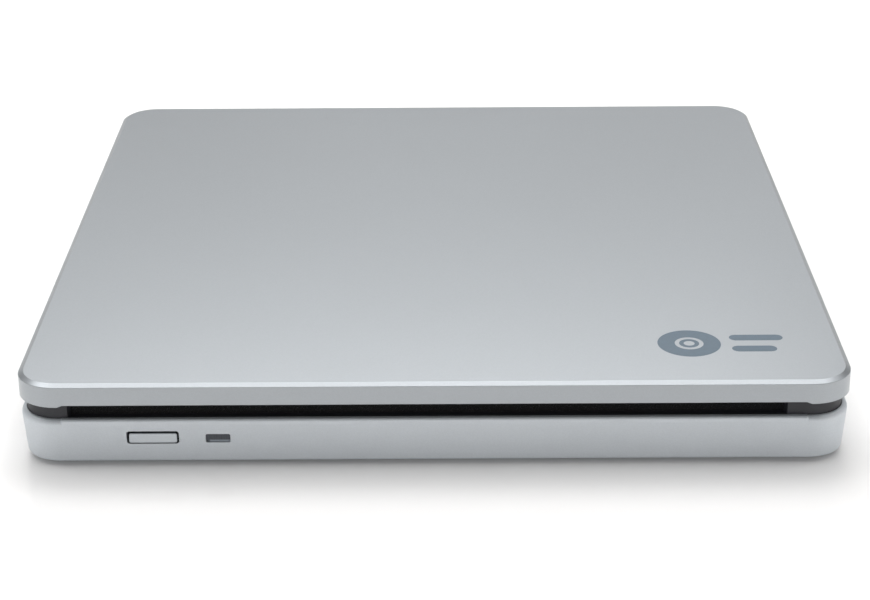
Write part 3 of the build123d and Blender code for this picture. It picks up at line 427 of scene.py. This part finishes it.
def ink(name, colour):
    """Screen-printed ink: the weave of the screen, and paler where the film is thin."""
    f = Finish(name, {"Specular IOR Level": 0.4})
    screen = f.sums("MULTIPLY", f.bands(0.14, "X"), f.bands(0.14, "Y"))
    film = f.noise(0.8, 4.0, rough=0.65)
    lit = f.sums("ADD", f.sums("MULTIPLY", screen, 0.25), f.sums("MULTIPLY", film, 0.75))
    tone = f.shades(lit, (0.3, tint(colour, 0.88)), (0.75, tint(colour, 1.16)))
    return f.done(tone, f.fit(film, 0.42, 0.56), f.relief(screen, 0.0015))


def floor_sheet(name):
    """White sheet with a barely visible mottle, polished round the drive and satin further out."""
    f = Finish(name, {
        "IOR": 1.5,
        "Specular IOR Level": 0.5,
        "Emission Color": (1, 1, 1, 1),
        "Emission Strength": 0.03,
    })
    mottle = f.noise(60.0, 3.0)
    tone = f.shades(mottle, (0.3, (0.94, 0.93, 0.921)), (0.7, (0.95, 0.94, 0.931)))
    reach = f.add("VectorMath", {0: f.space}, operation="LENGTH").outputs["Value"]
    polish = f.sums("ADD", f.fit(mottle, 0.03, 0.045), f.fit(reach, 0.0, 0.45, 0.16, 0.6))
    return f.done(tone, polish, f.relief(f.noise(8.0, 2.0), 0.0005))


SILVER = (0.393, 0.415, 0.435)
LID_PAINT = (SILVER, 0.9, 0.30)
# The tub takes the lid's silver at 1.61 times the brightness, less metallic and rougher: partly a more
# diffuse paint, partly painted light, as if the tub were lit more strongly from below.
TUB_PAINT_WITH_PAINTED_LIGHT = (tint(SILVER, 1.61), 0.5, 0.48)
finishes = {
    "silver_paint": silver_paint("silver_paint_finish", *LID_PAINT),
    "silver_paint_tub": silver_paint("silver_tub_painted_light_finish", *TUB_PAINT_WITH_PAINTED_LIGHT),
    "charcoal_plastic": moulded("charcoal_finish", (0.025, 0.0255, 0.031), 0.5),
    "black_felt": felt("felt_finish"),
    "foot_rubber": rubber("foot_finish", (0.02, 0.02, 0.021)),
    "screw_steel": screw_head("zinc_screw_finish", (0.56, 0.55, 0.52), 0.3),
    "screw_black": screw_head("black_screw_finish", (0.022, 0.022, 0.024), 0.38),
    "label_film": label_film("label_finish"),
    "smoked_window": smoked_pane("window_finish"),
    "board_green": solder_mask("board_finish"),
    "chip_black": chip("chip_finish"),
    "plug_black": moulded("plug_finish", (0.015, 0.015, 0.016), 0.45, 0.09, 0.004),
    "led_resin": clear_resin("lamp_finish", (0.72, 0.84, 0.92)),
    "contact_gold": plated("gold_finish", (0.83, 0.6, 0.24), 0.22, (1, 30, 1), 0.05),
    "socket_steel": plated("nickel_finish", (0.62, 0.6, 0.57), 0.24, (1, 25, 1), 0.05),
    "cable_white": flat_cable("cable_finish"),
    "case_steel": galvanised("sheet_finish", (0.56, 0.57, 0.57)),
    "cast_alloy": cast_metal("cast_finish", (0.34, 0.345, 0.35)),
    "bright_steel": plated("ground_steel_finish", (0.66, 0.66, 0.67), 0.16, (1, 1, 30), 0.04),
    "motor_can": plated("motor_can_finish", (0.47, 0.47, 0.48), 0.28, (12, 12, 1), 0.05),
    "coil_copper": enamelled_wire("coil_finish", middle("spindle_stator")),
    "mat_rubber": rubber("mat_finish", (0.015, 0.015, 0.017), middle("turntable_mat"), 0.4),
    "acetal_white": moulded("white_acetal_finish", (0.68, 0.68, 0.655), 0.36, 0.2, 0.002, 0.03,
                            {"Subsurface Weight": 0.08, "Subsurface Scale": 0.0006}),
    "acetal_black": moulded("black_acetal_finish", (0.018, 0.018, 0.02), 0.34, 0.2, 0.002, 0.1),
    "roller_rubber": rubber("roller_finish", (0.03, 0.03, 0.032)),
    "lens_glass": coated_lens("lens_finish"),
    "magnet_nickel": plated("magnet_finish", (0.52, 0.51, 0.5), 0.2, (1, 1, 1), 0.08),
    "bush_rubber": rubber("bush_finish", (0.028, 0.028, 0.028)),
}
own_finishes = {
    "eject_button": painted_key("key_finish", *TUB_PAINT_WITH_PAINTED_LIGHT),
    "front_board": solder_mask("front_board_finish", (90, 0, 0)),
    "motor_worm": turned("worm_finish", (0.8, 0.58, 0.28), middle("motor_worm"), "Y", 0.1, 0.24),
    "spindle_rotor": turned("rotor_finish", (0.6, 0.6, 0.61), middle("spindle_rotor"), "Z", 0.14, 0.2),
    "lead_screw": turned("lead_screw_finish", (0.6, 0.6, 0.61), middle("lead_screw"), "X", 0.1, 0.18),
}


def finish_nodes():
    """Every CAD node keeps its mesh and takes its slot's finish, or one of its own."""
    slots = {row["node"]: row["material_slot"] for row in frame["record"]["subparts"]}
    for name, node in frame["nodes"].items():
        made = own_finishes.get(name) or finishes[slots[name]]
        for holder in node.material_slots:
            holder.material = made


# ---- added pieces -------------------------------------------------------------------------------------
def mesh_piece(name, corners, faces, finish):
    """A new flat-shaded piece from corners in millimetres and faces, riding on the casing."""
    mesh = bpy.data.meshes.new(name)
    mesh.from_pydata([[c * MM for c in corner] for corner in corners], [], faces)
    mesh.validate()
    mesh.materials.append(finish)
    piece = bpy.data.objects.new(name, mesh)
    scene.collection.objects.link(piece)
    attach(piece, "casing")


def plate_between(outer, inner, z):
    """Corners and faces of a thin plate between a closed outline and a hole of as many points, or none."""
    count = len(outer)
    low, high = z
    corners = [(x, y, low) for x, y in outer] + [(x, y, high) for x, y in outer]
    faces = [(i, (i + 1) % count, count + (i + 1) % count, count + i) for i in range(count)]
    if not inner:
        return corners, faces + [tuple(range(count - 1, -1, -1)), tuple(range(count, 2 * count))]
    corners += [(x, y, low) for x, y in inner] + [(x, y, high) for x, y in inner]
    for i in range(count):
        j = (i + 1) % count
        faces.append((2 * count + j, 2 * count + i, 3 * count + i, 3 * count + j))
        faces.append((count + i, count + j, 3 * count + j, 3 * count + i))
        faces.append((j, i, 2 * count + i, 2 * count + j))
    return corners, faces


def circle(x, y, radius, count=96):
    turn = 2 * math.pi / count
    return [(x + radius * math.cos(i * turn), y + radius * math.sin(i * turn)) for i in range(count)]


def rounded(x, y, radius, count=8):
    """A rectangle with rounded corners, from its ranges."""
    points = []
    corners = ((x[1], y[0], -90), (x[1], y[1], 0), (x[0], y[1], 90), (x[0], y[0], 180))
    for cx, cy, start in corners:
        mx = cx - radius if cx == x[1] else cx + radius
        my = cy - radius if cy == y[1] else cy + radius
        for i in range(count + 1):
            turn = math.radians(start + 90 * i / count)
            points.append((mx + radius * math.cos(turn), my + radius * math.sin(turn)))
    return points


MARK_CENTRE = (44.4, -58.3)
MARK_BAR_START = 51.6
MARK_BAR_ROUND = 1.2


def printed_mark():
    """A plain disc sign and two rounded bars, printed near the lid's front right corner."""
    ink_blue = ink("mark_ink", (0.083, 0.125, 0.165))
    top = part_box("top_cover")[1].z / MM
    z = (top - 0.004, top + 0.006)
    shapes = {
        "mark_disc": (circle(*MARK_CENTRE, 5.5), circle(*MARK_CENTRE, 2.5)),
        "mark_hub": (circle(*MARK_CENTRE, 1.75), circle(*MARK_CENTRE, 0.95)),
        "mark_bar_upper": (rounded((MARK_BAR_START, 61.0), (-57.2, -54.8), MARK_BAR_ROUND), None),
        "mark_bar_lower": (rounded((MARK_BAR_START, 59.4), (-61.8, -59.4), MARK_BAR_ROUND), None),
    }
    for name, (outer, inner) in shapes.items():
        corners, faces = plate_between(outer, inner, z)
        mesh_piece(name, corners, faces, ink_blue)


NAP_FIBRES = 2200
NAP_INSET = 1.2
# Each strip of nap: its name, its range in Z, and how much its fibres lean up or down.
NAP_STRIPS = [("felt_nap_upper", 10.45, 11.9, -0.5), ("felt_nap_lower", 8.9, 10.25, 0.35)]


def felt_nap():
    """Loose fibres along both edges of the slot's dust seal, each a fine closed spike."""
    low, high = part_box("slot_felts")
    x0, x1 = low.x / MM + NAP_INSET, high.x / MM - NAP_INSET
    face_y = low.y / MM
    chance = random.Random(7)
    for name, z0, z1, droop in NAP_STRIPS:
        corners, faces = [], []
        for _ in range(NAP_FIBRES):
            x, z = chance.uniform(x0, x1), chance.uniform(z0, z1)
            length, thick = chance.uniform(0.35, 0.8), chance.uniform(0.018, 0.03)
            away = Vector((chance.gauss(0, 0.45), -1.0, chance.gauss(droop * 0.5, 0.35))).normalized()
            root = Vector((x, face_y + 0.02, z))
            side = away.cross(Vector((0, 0, 1))).normalized()
            over = side.cross(away)
            first = len(corners)
            for k in range(3):
                turn = 2 * math.pi * k / 3
                corners.append(root + (side * math.cos(turn) + over * math.sin(turn)) * thick)
            corners.append(root + away * length + Vector((0, 0, -0.12 * length)))
            a, b, c, d = range(first, first + 4)
            faces += [(a, c, b), (a, b, d), (b, c, d), (c, a, d)]
        mesh_piece(name, corners, faces, finishes["black_felt"])


LABEL_MARGIN = 1.6
LABEL_LINE = 0.25


def label_border():
    """A thin printed frame and two rules on the blank label under the tub."""
    low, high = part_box("label_plate")
    z = (low.z / MM - 0.004, low.z / MM + 0.01)
    x = (low.x / MM + LABEL_MARGIN, high.x / MM - LABEL_MARGIN)
    y = (low.y / MM + LABEL_MARGIN, high.y / MM - LABEL_MARGIN)
    grey_ink = ink("label_ink", (0.16, 0.165, 0.17))
    outer = rounded(x, y, 1.2)
    inner = rounded((x[0] + LABEL_LINE, x[1] - LABEL_LINE), (y[0] + LABEL_LINE, y[1] - LABEL_LINE), 0.95)
    corners, faces = plate_between(outer, inner, z)
    mesh_piece("label_frame", corners, faces, grey_ink)
    for name, place in (("label_rule_upper", 0.64), ("label_rule_lower", 0.36)):
        at = y[0] + (y[1] - y[0]) * place
        rule = rounded((x[0] + 2.5, x[1] - 2.5), (at - 0.12, at + 0.12), 0.1, 3)
        corners, faces = plate_between(rule, None, z)
        mesh_piece(name, corners, faces, grey_ink)


# ---- floor and light ----------------------------------------------------------------------------------
FLOOR_REACH = 6


def lay_floor():
    r = FLOOR_REACH
    mesh = bpy.data.meshes.new("floor")
    mesh.from_pydata([(-r, -r, 0), (r, -r, 0), (r, r, 0), (-r, r, 0)], [], [(0, 1, 2, 3)])
    mesh.materials.append(floor_sheet("floor_finish"))
    floor = bpy.data.objects.new("floor", mesh)
    scene.collection.objects.link(floor)


def panel(name, centre, aim, size, radiance):
    """A soft rectangular light. radiance is how bright its surface looks."""
    light = bpy.data.lights.new(name, "AREA")
    light.shape = "RECTANGLE"
    light.size, light.size_y = size
    light.energy = radiance * size[0] * size[1] * math.pi
    made = bpy.data.objects.new(name, light)
    made.location = centre
    made.rotation_euler = (Vector(aim) - Vector(centre)).to_track_quat("-Z", "Y").to_euler()
    scene.collection.objects.link(made)


# Rows of soft panels on the ceiling: where each row starts and ends along Y, and how bright its left,
# middle and right panels are.
CEILING_HEIGHT = 1.2
CEILING_PANEL_WIDTH = 0.8
CEILING = [
    (-0.2, 0.0, (1.16, 3.00, 0.80)),
    (0.0, 0.2, (3.00, 0.64, 3.00)),
    (0.2, 0.45, (2.09, 3.00, 0.67)),
    (0.45, 0.9, (0.20, 6.50, 0.85)),
    (0.9, 1.5, (2.59, 6.50, 0.73)),
    (1.5, 2.3, (0.68, 0.91, 0.14)),
    (2.3, 3.3, (0.13, 0.00, 0.40)),
    (3.3, 4.6, (0.00, 0.27, 0.14)),
]

# Low panels round the stage: name, centre, what it faces, size, and how bright it is.
WALLS = [
    ("wall_front", (0, -2.2, 0.25), (0, 0, 0.25), (2.8, 0.5), 0.63),
    ("wall_front_high", (0, -2.2, 0.8), (0, 0, 0.4), (2.8, 0.6), 0.20),
    ("wall_left", (-1.5, 0, 0.25), (0, 0, 0.25), (2.4, 0.5), 0.35),
    ("wall_left_high", (-1.5, 0, 0.8), (0, 0, 0.4), (2.4, 0.6), 0.40),
    ("wall_right", (1.5, 0, 0.25), (0, 0, 0.25), (2.4, 0.5), 0.35),
    ("wall_right_high", (1.5, 0, 0.8), (0, 0, 0.4), (2.4, 0.6), 0.40),
    ("wall_back", (0, 3.2, 0.25), (0, 0, 0.25), (4.4, 0.5), 0.16),
    ("wall_back_high", (0, 3.2, 0.8), (0, 0, 0.4), (4.4, 0.6), 0.13),
    ("corner_back_left", (-1.7, 2.6, 0.7), (0, 0, 0.7), (1.0, 0.8), 0.27),
    ("corner_back_right", (1.7, 2.6, 0.7), (0, 0, 0.7), (1.0, 0.8), 0.22),
    ("corner_front_left", (-1.9, -1.8, 0.65), (0, 0, 0.5), (1.4, 0.9), 0.60),
    ("corner_front_right", (1.9, -1.8, 0.65), (0, 0, 0.5), (1.4, 0.9), 0.60),
]


# The world's brightness at and above the horizon, and the heights where it starts and ends fading.
WORLD_LEVELS = (0.95, 0.25)
WORLD_FADE = (0.03, 0.08)


def light_studio():
    """The ceiling, a few low panels, and a world that is pale at the horizon and dim above it."""
    for row, (y0, y1, levels) in enumerate(CEILING):
        for column, level in enumerate(levels):
            if level:
                centre = (CEILING_PANEL_WIDTH * (column - 1), (y0 + y1) / 2, CEILING_HEIGHT)
                size = (CEILING_PANEL_WIDTH, y1 - y0)
                panel(f"ceiling_{row}_{column}", centre, (centre[0], centre[1], 0), size, level)
    for name, centre, aim, size, level in WALLS:
        panel(name, centre, aim, size, level)
    world = bpy.data.worlds.new("studio")
    world.use_nodes = True
    tree = world.node_tree
    heading = tree.nodes.new("ShaderNodeTexCoord").outputs["Generated"]
    height = tree.nodes.new("ShaderNodeSeparateXYZ")
    ramp = tree.nodes.new("ShaderNodeValToRGB")
    for element, place, level in zip(ramp.color_ramp.elements, WORLD_FADE, WORLD_LEVELS):
        element.position = place
        element.color = (level, level, level, 1)
    tree.links.new(heading, height.inputs[0])
    tree.links.new(height.outputs[2], ramp.inputs[0])
    tree.links.new(ramp.outputs[0], tree.nodes["Background"].inputs[0])
    scene.world = world


place_camera()
finish_nodes()
printed_mark()
felt_nap()
label_border()
lay_floor()
light_studio()
